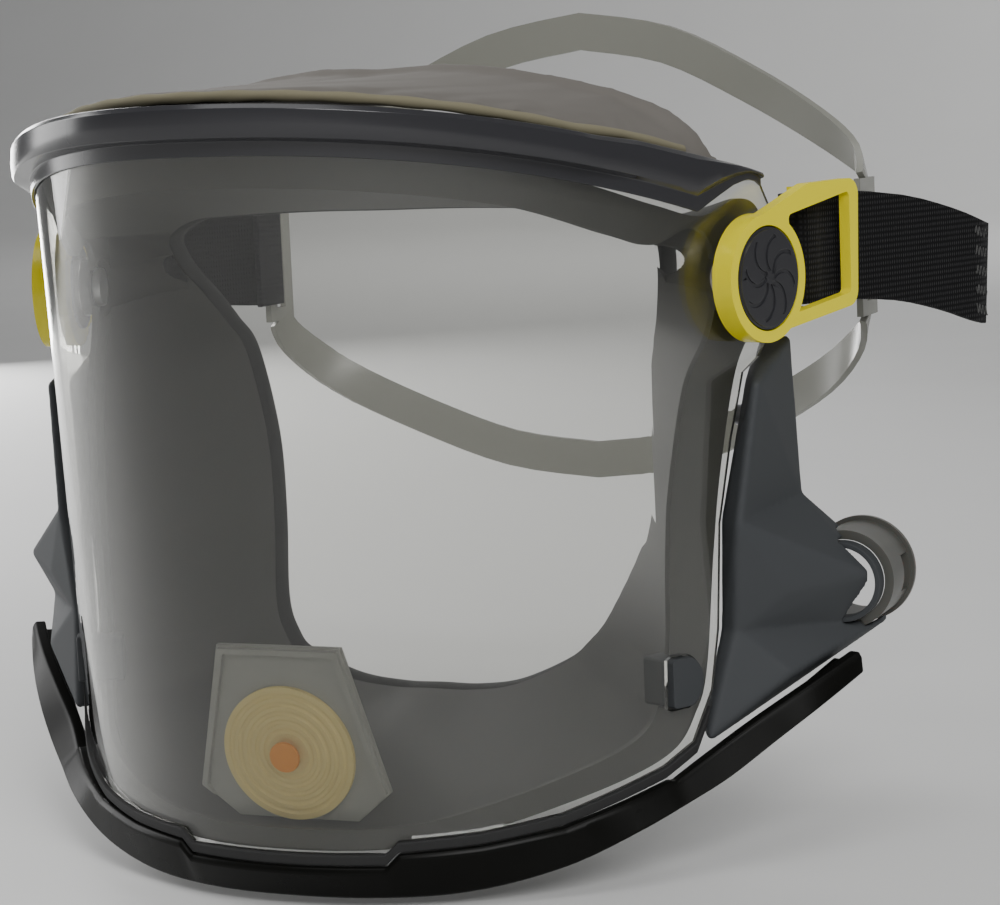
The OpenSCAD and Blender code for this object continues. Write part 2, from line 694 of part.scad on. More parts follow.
module head_cradle() {
    color([0.42, 0.42, 0.37, 0.8]) difference() {
        union() {
            cradle_arc(crown_line);
            cradle_arc(nape_line);
            for (side = [-1, 1]) both_sides(side)
                translate([plate_x - band_t / 2, plate_y - 8, -21]) cube([band_t, 17, 42]);
        }
        for (side = [-1, 1]) both_sides(side)
            translate([plate_x - 4, plate_y - slot_w / 2, -strap_w / 2 - 1.5])
                cube([8, slot_w, strap_w + 3]);
    }
}

module cover_screws() {
    color([0.5, 0.5, 0.5]) for (side = [-1, 1]) both_sides(side)
        for (z = screw_heights) translate([screw_x, screw_y, z]) rotate([0, 90, 0]) {
            translate([0, 0, -1.8]) cylinder(r = screw_r * 2, h = 1.9, $fn = round_fn);
            cylinder(r = screw_r, h = 5.5, $fn = round_fn);
        }
}

visor();
face_frame();
face_seal();
brow_frame();
forehead_seal();
brow_piping();
side_cover_left();
side_cover_right();
chin_cover();
chin_gasket();
valve_housing();
valve_seat();
valve_membrane();
valve_stud();
latch_tab_left();
latch_tab_right();
pivot_bush_left();
pivot_bush_right();
pivot_bolt_left();
pivot_bolt_right();
pivot_knob_left();
pivot_knob_right();
buckle_left();
buckle_right();
strap_left();
strap_right();
head_cradle();
hose_port();
air_duct();
cover_screws();
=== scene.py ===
"""Looks of a full-face respirator visor with a head harness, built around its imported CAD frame."""

import logging
import math
from dataclasses import dataclass
from enum import Enum
from typing import Callable, Optional, Sequence

import bpy
from mathutils import Matrix, Vector


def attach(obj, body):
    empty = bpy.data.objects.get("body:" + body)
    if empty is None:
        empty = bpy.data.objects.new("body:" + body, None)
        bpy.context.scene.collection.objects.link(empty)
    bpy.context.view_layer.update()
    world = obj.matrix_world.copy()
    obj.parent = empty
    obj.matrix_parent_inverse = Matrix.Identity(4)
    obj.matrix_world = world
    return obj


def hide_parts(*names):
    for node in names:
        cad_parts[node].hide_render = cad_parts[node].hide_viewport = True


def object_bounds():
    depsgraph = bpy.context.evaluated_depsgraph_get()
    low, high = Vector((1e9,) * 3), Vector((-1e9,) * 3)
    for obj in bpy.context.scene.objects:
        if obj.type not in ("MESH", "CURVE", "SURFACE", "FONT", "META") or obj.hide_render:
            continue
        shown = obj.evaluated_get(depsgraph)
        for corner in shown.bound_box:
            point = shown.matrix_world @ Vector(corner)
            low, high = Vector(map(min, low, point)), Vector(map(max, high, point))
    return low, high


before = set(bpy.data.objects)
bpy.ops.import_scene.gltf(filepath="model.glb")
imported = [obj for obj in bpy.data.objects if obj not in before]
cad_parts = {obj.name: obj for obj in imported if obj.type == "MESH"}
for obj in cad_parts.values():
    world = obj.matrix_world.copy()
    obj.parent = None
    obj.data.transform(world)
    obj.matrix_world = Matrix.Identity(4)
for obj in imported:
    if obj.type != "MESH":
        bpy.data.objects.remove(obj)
cad_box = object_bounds()

log = logging.getLogger("visor")
MM = 0.001
MASK = "mask"
SIDES = ("left", "right")


# ---- small helpers over Blender's operators ------------------------------------------------------


def deselect_all() -> None:
    """Leaves nothing selected and no active object."""
    if bpy.context.mode != "OBJECT":
        bpy.ops.object.mode_set(mode="OBJECT")
    bpy.ops.object.select_all(action="DESELECT")
    bpy.context.view_layer.objects.active = None


def activate(obj: bpy.types.Object) -> None:
    """Makes one object the only selected and the active one.

    Args:
        obj: the object to work on.
    """
    deselect_all()
    obj.select_set(True)
    bpy.context.view_layer.objects.active = obj


def edit_mesh(obj: bpy.types.Object, *steps: Callable[[], object]) -> None:
    """Runs operators on the whole mesh of an object in edit mode.

    Args:
        obj: the mesh object.
        steps: calls that each run one operator.
    """
    activate(obj)
    bpy.ops.object.mode_set(mode="EDIT")
    bpy.ops.mesh.select_all(action="SELECT")
    for step in steps:
        step()
    bpy.ops.object.mode_set(mode="OBJECT")


def apply_modifier(obj: bpy.types.Object, kind: str, **settings: object) -> None:
    """Adds a modifier with its settings and applies it.

    Args:
        obj: the mesh object.
        kind: the modifier's type.
        settings: the modifier's properties.
    """
    activate(obj)
    modifier = obj.modifiers.new(kind.lower(), kind)
    for name, value in settings.items():
        setattr(modifier, name, value)
    bpy.ops.object.modifier_apply(modifier=modifier.name)


def smooth(obj: bpy.types.Object, degrees: float = 35.0, weighted: bool = False) -> None:
    """Shades a mesh smooth except over edges sharper than an angle.

    Args:
        obj: the mesh object.
        degrees: the angle from which an edge stays sharp.
        weighted: whether broad faces keep their own direction beside rounded edges.
    """
    activate(obj)
    bpy.ops.object.shade_smooth_by_angle(angle=math.radians(degrees))
    if weighted:
        apply_modifier(obj, "WEIGHTED_NORMAL", keep_sharp=True, weight=80)


def cad_copy(node: str, name: str) -> bpy.types.Object:
    """A merged copy of a CAD node's mesh, ready to be worked on.

    Args:
        node: the CAD node's name.
        name: the new piece's name.

    Returns:
        The new object, at the origin.
    """
    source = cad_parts[node]
    mesh = source.data.copy()
    mesh.materials.clear()
    piece = bpy.data.objects.new(name, mesh)
    bpy.context.scene.collection.objects.link(piece)
    edit_mesh(
        piece,
        lambda: bpy.ops.mesh.remove_doubles(threshold=2e-6),
        lambda: bpy.ops.mesh.customdata_custom_splitnormals_clear(),
        lambda: bpy.ops.mesh.dissolve_limited(angle_limit=math.radians(0.6)),
    )
    return piece


def seat(
    piece: bpy.types.Object,
    body: str,
    material: bpy.types.Material,
    nodes: Sequence[str] = (),
) -> bpy.types.Object:
    """Gives a finished piece its material and its body, and hides the CAD nodes that it stands for.

    Args:
        piece: the finished mesh object.
        body: the CAD body that it rides on.
        material: the piece's material.
        nodes: the CAD nodes that it replaces.

    Returns:
        The same piece.
    """
    piece.data.materials.clear()
    piece.data.materials.append(material)
    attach(piece, body)
    if nodes:
        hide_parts(*nodes)
    log.info("%s rides on %s, %d faces", piece.name, body, len(piece.data.polygons))
    return piece


def loft(name: str, rings: Sequence[Sequence[Vector]], loop: bool = False) -> bpy.types.Object:
    """Shapes a primitive grid into a closed skin through a row of equal rings.

    Args:
        name: the piece's name.
        rings: the rings, each a closed row of points in metres.
        loop: whether the last ring joins the first; otherwise both ends are capped.

    Returns:
        The new object, at the origin.
    """
    rows, around = len(rings) + (1 if loop else 0), len(rings[0])
    deselect_all()
    bpy.ops.mesh.primitive_grid_add(x_subdivisions=around, y_subdivisions=rows - 1, size=1.0)
    piece = bpy.context.object
    piece.name = name
    for vertex in piece.data.vertices:
        column = round((vertex.co.x + 0.5) * around)
        row = round((vertex.co.y + 0.5) * (rows - 1))
        vertex.co = rings[row % len(rings)][column % around]
    steps = [lambda: bpy.ops.mesh.remove_doubles(threshold=1e-6)]
    if not loop:
        steps.append(lambda: bpy.ops.mesh.fill_holes(sides=0))
    steps += [lambda: bpy.ops.mesh.select_all(action="SELECT"),
              lambda: bpy.ops.mesh.normals_make_consistent(inside=False)]
    edit_mesh(piece, *steps)
    return piece


def cut(piece: bpy.types.Object, cutter: bpy.types.Object) -> None:
    """Takes one solid out of another and removes it.

    Args:
        piece: the object to cut.
        cutter: the object taken out of it.

    Raises:
        RuntimeError: when the cut leaves less than half of the piece's faces.
    """
    before = len(piece.data.polygons)
    apply_modifier(piece, "BOOLEAN", object=cutter, operation="DIFFERENCE", solver="EXACT")
    bpy.data.objects.remove(cutter, do_unlink=True)
    if len(piece.data.polygons) < before / 2:
        raise RuntimeError("%s lost most of its faces in a cut" % piece.name)


def soft_bevel(piece: bpy.types.Object, width: float, degrees: float = 28.0, segments: int = 3) -> None:
    """Rounds the crisp edges of a piece.

    Args:
        piece: the object.
        width: the bevel's width in metres.
        degrees: the angle from which an edge is rounded.
        segments: facets across each rounded edge.
    """
    apply_modifier(piece, "BEVEL", width=width, segments=segments, limit_method="ANGLE",
                   angle_limit=math.radians(degrees), use_clamp_overlap=True)


def lookup(value: float, table: Sequence[tuple[float, float]]) -> float:
    """Reads a table of rising keys with straight lines between its rows."""
    if value <= table[0][0]:
        return table[0][1]
    for (low, first), (high, second) in zip(table, table[1:]):
        if value <= high:
            return first + (second - first) * (value - low) / (high - low)
    return table[-1][1]


def curve(points: Sequence[Sequence[float]], steps: int, loop: bool = False) -> list[list[float]]:
    """A smooth curve through points of any dimension.

    Args:
        points: the points.
        steps: steps between neighbours.
        loop: whether the curve is closed.

    Returns:
        The curve's points.
    """
    count = len(points)

    def point(i: int) -> Sequence[float]:
        """The i-th point, past either end too."""
        return points[i % count] if loop else points[min(max(i, 0), count - 1)]

    line = []
    for i in range(count if loop else count - 1):
        for k in range(steps):
            s = k / steps
            line.append([
                0.5 * (2 * b + (c - a) * s + (2 * a - 5 * b + 4 * c - d) * s * s
                       + (3 * b - a - 3 * c + d) * s ** 3)
                for a, b, c, d in zip(point(i - 1), point(i), point(i + 1), point(i + 2))
            ])
    return line if loop else line + [list(points[-1])]


def mirrored(half: Sequence[Sequence[float]], ends: int = 1) -> list[list[float]]:
    """Completes a half outline that starts on the middle line.

    Args:
        half: points whose first value changes sign on the other side.
        ends: 1 when the last point is also on the middle line, else 0.

    Returns:
        The half and its mirror image in reverse order.
    """
    back = list(half)[1:len(half) - ends] if ends else list(half)[1:]
    return [list(p) for p in half] + [[-p[0], *p[1:]] for p in reversed(back)]


def angles(last: float, step: float, keys: Sequence[float] = ()) -> list[float]:
    """Angles from -last to last with no step longer than the given one, through every key."""
    marks = sorted({0.0, last, *(k for k in keys if 0 < k < last)})
    half = []
    for low, high in zip(marks, marks[1:]):
        count = math.ceil((high - low) / step)
        half += [low + (high - low) * k / count for k in range(count)]
    half.append(last)
    return [-a for a in reversed(half[1:])] + half


# ---- materials -----------------------------------------------------------------------------------


class Graph:
    """Builds a material's nodes with short calls."""

    def __init__(self, name: str) -> None:
        """Starts a material with a Principled shader."""
        self.material = bpy.data.materials.new(name)
        self.material.use_nodes = True
        self.nodes = self.material.node_tree.nodes
        self.links = self.material.node_tree.links
        self.shader = self.nodes["Principled BSDF"]
        self.place = self.nodes.new("ShaderNodeTexCoord").outputs["Object"]

    def set(self, **values: object) -> None:
        """Sets sockets of the shader; an underscore in a name stands for a space."""
        for name, value in values.items():
            self.shader.inputs[name.replace("_", " ")].default_value = value

    def add(self, kind: str, inputs: Optional[dict] = None, **settings: object) -> bpy.types.Node:
        """Adds a node.

        Args:
            kind: the node type, without its ShaderNode prefix.
            inputs: socket name to a value or to another node's output.
            settings: the node's properties.

        Returns:
            The new node.
        """
        node = self.nodes.new("ShaderNode" + kind)
        for name, value in settings.items():
            setattr(node, name, value)
        for name, value in (inputs or {}).items():
            if isinstance(value, bpy.types.NodeSocket):
                self.links.new(value, node.inputs[name])
            else:
                node.inputs[name].default_value = value
        return node

    def stretched(self, scale: Sequence[float], turn: Sequence[float] = (0, 0, 0)) -> bpy.types.NodeSocket:
        """Object coordinates scaled by axis and turned."""
        node = self.add("Mapping", {"Vector": self.place, "Scale": scale, "Rotation": turn})
        return node.outputs["Vector"]

    def noise(self, scale: float, detail: float = 3.0, rough: float = 0.55,
              place: Optional[bpy.types.NodeSocket] = None) -> bpy.types.NodeSocket:
        """A noise value from 0 to 1 at so many cells a metre."""
        node = self.add("TexNoise", {"Vector": place or self.place, "Scale": scale, "Detail": detail,
                                     "Roughness": rough})
        return node.outputs["Fac"]

    def span(self, value: bpy.types.NodeSocket, low: float, high: float,
             start: float = 0.0, end: float = 1.0) -> bpy.types.NodeSocket:
        """Maps a value from start..end to low..high, clamped."""
        node = self.add("MapRange", {"Value": value, "From Min": start, "From Max": end,
                                     "To Min": low, "To Max": high})
        return node.outputs["Result"]

    def mix(self, factor: bpy.types.NodeSocket, first: object, second: object) -> bpy.types.NodeSocket:
        """Mixes two colours by a factor."""
        node = self.add("Mix", data_type="RGBA")
        self.links.new(factor, node.inputs["Factor"])
        for socket, colour in ((node.inputs[6], first), (node.inputs[7], second)):
            if isinstance(colour, bpy.types.NodeSocket):
                self.links.new(colour, socket)
            else:
                socket.default_value = (*colour, 1.0)
        return node.outputs[2]

    def math(self, operation: str, first: object, second: object = 0.0) -> bpy.types.NodeSocket:
        """A Math node's result."""
        node = self.add("Math", operation=operation)
        for socket, value in zip(node.inputs, (first, second)):
            if isinstance(value, bpy.types.NodeSocket):
                self.links.new(value, socket)
            else:
                socket.default_value = value
        return node.outputs[0]

    def drive(self, **sockets: bpy.types.NodeSocket) -> None:
        """Links outputs into the shader's sockets."""
        for name, output in sockets.items():
            self.links.new(output, self.shader.inputs[name.replace("_", " ")])

    def bump(self, height: bpy.types.NodeSocket, distance: float, strength: float = 1.0,
             under: Optional[bpy.types.NodeSocket] = None) -> bpy.types.NodeSocket:
        """A bump of so many metres, over another bump if one is given; it drives the normal."""
        inputs = {"Height": height, "Distance": distance, "Strength": strength}
        if under is not None:
            inputs["Normal"] = under
        output = self.add("Bump", inputs).outputs["Normal"]
        self.drive(Normal=output)
        return output


@dataclass(frozen=True)
class Moulded:
    """Moulded plastic: fine grain, handling smudges and light scratches.

    Attributes:
        name: the material's name.
        colour: base colour.
        roughness: lowest and highest roughness.
        grain: depth of the surface grain in metres.
        coat: strength of the clear gloss on top.
        scuff: how pale the scratches are, from 0 to 1.
        specular: strength of the plain reflection.
        metal: 1 for bare metal, else 0.
    """

    name: str
    colour: tuple[float, float, float]
    roughness: tuple[float, float] = (0.32, 0.48)
    grain: float = 1.2e-5
    coat: float = 0.0
    scuff: float = 0.06
    specular: float = 0.5
    metal: float = 0.0

    def build(self) -> bpy.types.Material:
        """Makes the material."""
        g = Graph(self.name)
        smudge = g.noise(38, 4, 0.6)
        fine = g.noise(900, 2)
        scratch = g.noise(60, 8, 0.75, g.stretched((1.0, 9.0, 5.0), (0.3, 0.5, 0.9)))
        marks = g.span(scratch, 0.0, self.scuff, 0.63, 0.72)
        faded = tuple(min(1.0, c * 1.35 + 0.004) for c in self.colour)
        tone = g.mix(g.span(smudge, 0.0, 0.35), self.colour, faded)
        worn = g.mix(marks, tone, tuple(min(1.0, c * 2.2 + 0.05) for c in self.colour))
        g.drive(Base_Color=worn, Roughness=g.span(smudge, *self.roughness, 0.3, 0.7))
        g.set(Coat_Weight=self.coat, Coat_Roughness=0.08, Specular_IOR_Level=self.specular,
              Metallic=self.metal)
        g.bump(fine, self.grain)
        return g.material


@dataclass(frozen=True)
class ClearSheet:
    """Polished clear sheet with a faint smoke tint, dust and wiping marks."""

    name: str = "clear_sheet"

    def build(self) -> bpy.types.Material:
        """Makes the material."""
        g = Graph(self.name)
        wipe = g.noise(26, 5, 0.6, g.stretched((1.0, 1.0, 2.4), (0.0, 0.4, 0.2)))
        g.set(Base_Color=(0.86, 0.86, 0.83, 1.0), Transmission_Weight=1.0, IOR=1.45, Metallic=0.0)
        g.drive(Roughness=g.span(wipe, 0.0, 0.03, 0.5, 0.85))
        return g.material


@dataclass(frozen=True)
class Felt:
    """Brushed knit laid over foam: flecked yarn, fuzz and soft sheen."""

    name: str
    dark: tuple[float, float, float]
    light: tuple[float, float, float]
    scale: float = 1400.0

    def build(self) -> bpy.types.Material:
        """Makes the material."""
        g = Graph(self.name)
        fleck = g.noise(self.scale, 3, 0.7)
        cloud = g.noise(60, 3)
        loops = g.add("TexVoronoi", {"Vector": g.place, "Scale": self.scale * 0.7}).outputs["Distance"]
        colour = g.mix(g.span(fleck, 0, 1, 0.4, 0.66), self.dark, self.light)
        shade = g.mix(g.span(cloud, 0.0, 0.3), colour, tuple(c * 0.55 for c in self.dark))
        g.drive(Base_Color=shade)
        g.set(Roughness=0.95, Sheen_Weight=0.06, Sheen_Roughness=0.5, Specular_IOR_Level=0.12)
        under = g.bump(loops, 2.5e-4, 0.6)
        g.bump(fleck, 2e-4, 0.5, under)
        return g.material


@dataclass(frozen=True)
class Webbing:
    """Ribbed black elastic: ribs along the strap, cross picks and stray pale fibres."""

    name: str = "elastic_webbing"
    rib: float = 620.0
    pick: float = 900.0

    def build(self) -> bpy.types.Material:
        """Makes the material."""
        g = Graph(self.name)
        across = g.add("TexWave", {"Vector": g.place, "Scale": self.rib / 3.1, "Distortion": 0.6,
                                   "Detail": 2.0, "Detail Scale": 3.0}, bands_direction="Z").outputs["Fac"]
        along = g.add("TexWave", {"Vector": g.place, "Scale": self.pick / 3.1, "Distortion": 1.2,
                                  "Detail": 2.0, "Detail Scale": 2.0}, bands_direction="Y").outputs["Fac"]
        fibre = g.noise(1500, 4, 0.75)
        weave = g.math("MULTIPLY", across, along)
        colour = g.mix(weave, (0.004, 0.004, 0.0045), (0.016, 0.016, 0.0175))
        lint = g.mix(g.span(fibre, 0.0, 0.8, 0.66, 0.74), colour, (0.07, 0.07, 0.07))
        g.drive(Base_Color=lint)
        g.set(Roughness=0.88, Sheen_Weight=0.05, Sheen_Roughness=0.4, Specular_IOR_Level=0.15)
        under = g.bump(weave, 3e-4, 0.8)
        g.bump(fibre, 1e-4, 0.5, under)
        return g.material


@dataclass(frozen=True)
class Translucent:
    """Flexible see-through plastic or silicone with soft flow marks.

    Attributes:
        name: the material's name.
        colour: base colour.
        through: share of light passing straight through.
        inside: share of light scattered inside.
        roughness: lowest and highest roughness.
    """

    name: str
    colour: tuple[float, float, float]
    through: float = 0.25
    inside: float = 0.3
    roughness: tuple[float, float] = (0.3, 0.42)

    def build(self) -> bpy.types.Material:
        """Makes the material."""
        g = Graph(self.name)
        flow = g.noise(22, 4, 0.6)
        fine = g.noise(500, 2)
        g.drive(Base_Color=g.mix(g.span(flow, 0, 0.5), self.colour, tuple(c * 0.72 for c in self.colour)),
                Roughness=g.span(flow, *self.roughness, 0.3, 0.7))
        g.set(Transmission_Weight=self.through, Subsurface_Weight=self.inside, Subsurface_Scale=0.004,
              IOR=1.45)
        g.bump(fine, 1.5e-5)
        return g.material


class Finish(Enum):
    """Every finish on the object, with the record slot that it belongs to."""

    CLEAR = ("clear_visor", ClearSheet())
    SATIN = ("black_satin", Moulded("black_satin", (0.0028, 0.0028, 0.0034), (0.4, 0.52), 6e-6, 0.0, 0.008,
                           specular=0.04))
    GLOSS = ("black_gloss", Moulded("black_gloss", (0.0022, 0.0022, 0.0028), (0.14, 0.22), 3e-6, 0.0, 0.008,
                           specular=0.08))
    FRAME = ("frame_grey", Moulded("frame_grey", (0.014, 0.014, 0.0115), (0.4, 0.52), 2e-6, 0.0, 0.004,
                           specular=0.06))
    RUBBER = ("black_rubber", Moulded("black_rubber", (0.007, 0.007, 0.0075), (0.5, 0.65), 2e-5, 0.0, 0.02,
                           specular=0.25))
    FELT = ("brow_felt", Felt("brow_felt", (0.006, 0.0056, 0.0047), (0.04, 0.037, 0.031)))
    PIPING = ("olive_piping", Felt("olive_piping", (0.06, 0.056, 0.034), (0.15, 0.14, 0.095), 2200))
    PLATE = ("valve_plate", Translucent("valve_plate", (0.1, 0.1, 0.088), 0.1, 0.05))
    AMBER = ("valve_amber", Translucent("valve_amber", (0.56, 0.27, 0.012), 0.0, 0.2, (0.4, 0.5)))
    ORANGE = ("valve_orange", Translucent("valve_orange", (0.85, 0.115, 0.0), 0.0, 0.15, (0.3, 0.42)))
    YELLOW = ("buckle_yellow", Moulded("buckle_yellow", (0.95, 0.66, 0.0), (0.34, 0.44), 4e-6, 0.0, 0.0,
                           specular=0.12))
    ELASTIC = ("strap_black", Webbing())
    CRADLE = ("cradle_grey", Translucent("cradle_grey", (0.02, 0.02, 0.0155), 0.04, 0.03, (0.24, 0.34)))
    CHIN = ("black_satin", Moulded("chin_satin", (0.0045, 0.0045, 0.0038), (0.24, 0.36), 5e-6, 0.0, 0.008,
                           specular=0.1))
    COLLAR = ("valve_plate", Translucent("collar_smoke", (0.11, 0.11, 0.098), 0.15, 0.1))
    THREAD = ("strap_black", Felt("hem_thread", (0.09, 0.09, 0.09), (0.16, 0.16, 0.155), 3000))
    STEEL = ("steel", Moulded("steel", (0.6, 0.6, 0.62), (0.2, 0.35), 4e-6, 0.0, 0.1,
                           metal=1.0))

    @property
    def slot(self) -> str:
        """The record's material slot."""
        return self.value[0]

    @property
    def material(self) -> bpy.types.Material:
        """The finish's material.

        A material already in the file under the recipe's name is used as it is. The frame brings plain
        ones named after the record's slots, so a recipe that shares a slot's name isn't built.
        """
        recipe = self.value[1]
        return bpy.data.materials.get(recipe.name) or recipe.build()


# ---- pieces that keep the CAD shape --------------------------------------------------------------


@dataclass(frozen=True)
class Dressed:
    """A CAD piece with its edges rounded and its skin shaded smooth.

    Attributes:
        node: the CAD node.
        body: the body that it rides on.
        finish: its finish.
        edge: width of the rounded edges, in metres, or 0 for none.
        sharp: angle from which an edge is rounded and kept crisp.
    """

    node: str
    body: str
    finish: Finish
    edge: float = 0.4 * MM
    sharp: float = 32.0

    def build(self) -> bpy.types.Object:
        """Makes the piece and seats it."""
        piece = cad_copy(self.node, self.node + "_skin")
        if self.edge:
            apply_modifier(piece, "BEVEL", width=self.edge, segments=2, limit_method="ANGLE",
                           angle_limit=math.radians(self.sharp), use_clamp_overlap=True)
        smooth(piece, self.sharp, self.edge > 0)
        return seat(piece, self.body, self.finish.material, [self.node])


# ---- the face's curve and the pieces that follow it -----------------------------------------------


@dataclass(frozen=True)
class Face:
    """The curved, slightly leaning surface that the front pieces follow, in millimetres and degrees.

    Attributes:
        half_width: half of the distance between the pivots.
        pivot: wrap angle at the pivots.
        reach: how far the visor stands in front of the pivots.
        lean: reach gained for each millimetre up.
        top: visor's top edge above the pivots, in the middle.
    """

    half_width: float = 100.0
    pivot: float = 63.2
    reach: float = 106.0
    lean: float = 0.16
    top: float = 40.0
    ear: tuple = ((57, 19.7), (60, 23.5), (62, 25.8), (64, 27), (65.3, 26.2), (66.5, 24), (68.5, 15),
                  (69.5, 4))
    foot: tuple = (
        (0, -139.7), (14, -139.7), (15.7, -136.4), (25.8, -135.4), (35.9, -133), (43.8, -128.6),
        (49.3, -125.4), (53.7, -120.6), (56.7, -108), (58, -92), (58.8, -64), (60.9, -42), (63, -25),
        (65.5, -21.5), (68, -13), (69.5, -4),
    )
    rim_reach: tuple = ((0, 8.0), (43, 8.0), (50, 4.6), (66, 4.4))
    temple: tuple = ((45, 39.77), (50, 37.9), (57, 33.5), (63, 29.8), (66, 27.5))
    rim_height: float = 11.5

    def at(self, angle: float, height: float, off: float = 0.0) -> Vector:
        """The place at a wrap angle and height, so far in front of the surface, in metres."""
        t, p = math.radians(angle), math.radians(self.pivot)
        half, depth = self.half_width / math.sin(p), (self.reach + self.lean * height) / (1 - math.cos(p))
        return Vector(((half + off) * math.sin(t), depth * math.cos(p) - (depth + off) * math.cos(t),
                       height)) * MM

    def head(self, angle: float) -> float:
        """Height of the visor's top edge."""
        a = abs(angle)
        return self.top - 20.3 * (a / 57) ** 2.3 if a < 57 else lookup(a, self.ear)

    def foot_at(self, angle: float) -> float:
        """Height of the visor's bottom edge."""
        return lookup(abs(angle), self.foot)

    def rim_top(self, angle: float) -> float:
        """Height of the brow rim's top."""
        return self.head(angle) + self.rim_height if abs(angle) < 45 else lookup(abs(angle), self.temple)

    def band(self, name: str, stations: Sequence[float],
             section: Callable[[float], Sequence[tuple[float, float]]]) -> bpy.types.Object:
        """Sweeps a section round the face.

        Args:
            name: the piece's name.
            stations: the wrap angles.
            section: corners as (offset, height) for an angle.

        Returns:
            The new object.
        """
        return loft(name, [[self.at(t, z, off) for off, z in section(t)] for t in stations])


FACE = Face()


@dataclass(frozen=True)
class Pivot:
    """The temple pivots' place and lean.

    Attributes:
        half_width: half of the distance between them, in metres.
        tilt: how far each axis points forward from square, in degrees.
    """

    half_width: float = 0.1
    tilt: float = 18.0

    def plug(self, side: int, radius: float, reach: tuple[float, float] = (-0.02, 0.02)) -> bpy.types.Object:
        """A plain cutter along a pivot's axis.

        Args:
            side: 1 for the wearer's left, -1 for the right.
            radius: the cutter's radius.
            reach: where it starts and ends along the axis.

        Returns:
            The cutter.
        """
        turn = math.radians(self.tilt)
        axis = Vector((side * math.cos(turn), -math.sin(turn), 0))
        deselect_all()
        bpy.ops.mesh.primitive_cylinder_add(
            vertices=96, radius=radius, depth=reach[1] - reach[0],
            location=Vector((side * self.half_width, 0, 0)) + axis * sum(reach) / 2,
            rotation=(0, math.radians(90), -side * turn))
        bpy.ops.object.transform_apply()
        return bpy.context.object


PIVOT = Pivot()


@dataclass(frozen=True)
class VisorUnit:
    """The clear visor with its temple holes and latch windows.

    Attributes:
        thickness: the sheet's thickness in millimetres.
        step: widest angle between two columns, in degrees.
    """

    thickness: float = 2.0
    step: float = 1.1

    def window(self, side: str, grow: float) -> bpy.types.Object:
        """A cutter with the outline of a latch tab, grown about its middle."""
        cutter = cad_copy("latch_tab_" + side, "window_cutter")
        middle = sum((v.co for v in cutter.data.vertices), Vector()) / len(cutter.data.vertices)
        for vertex in cutter.data.vertices:
            vertex.co = middle + (vertex.co - middle) * grow
        return cutter

    def build(self) -> None:
        """Makes the visor."""
        keys = [k for k, _ in FACE.ear] + [k for k, _ in FACE.foot]
        sheet = FACE.band("visor_sheet", angles(69.5, self.step, keys), lambda t: [
            (0, FACE.foot_at(t)), (self.thickness, FACE.foot_at(t)),
            (self.thickness, FACE.head(t)), (0, FACE.head(t))])
        for number, side in ((1, "left"), (-1, "right")):
            cut(sheet, PIVOT.plug(number, 0.009))
            cut(sheet, self.window(side, 1.11))
        soft_bevel(sheet, 0.35 * MM, 50, 2)
        smooth(sheet, 12)
        seat(sheet, MASK, Finish.CLEAR.material, ["visor"])


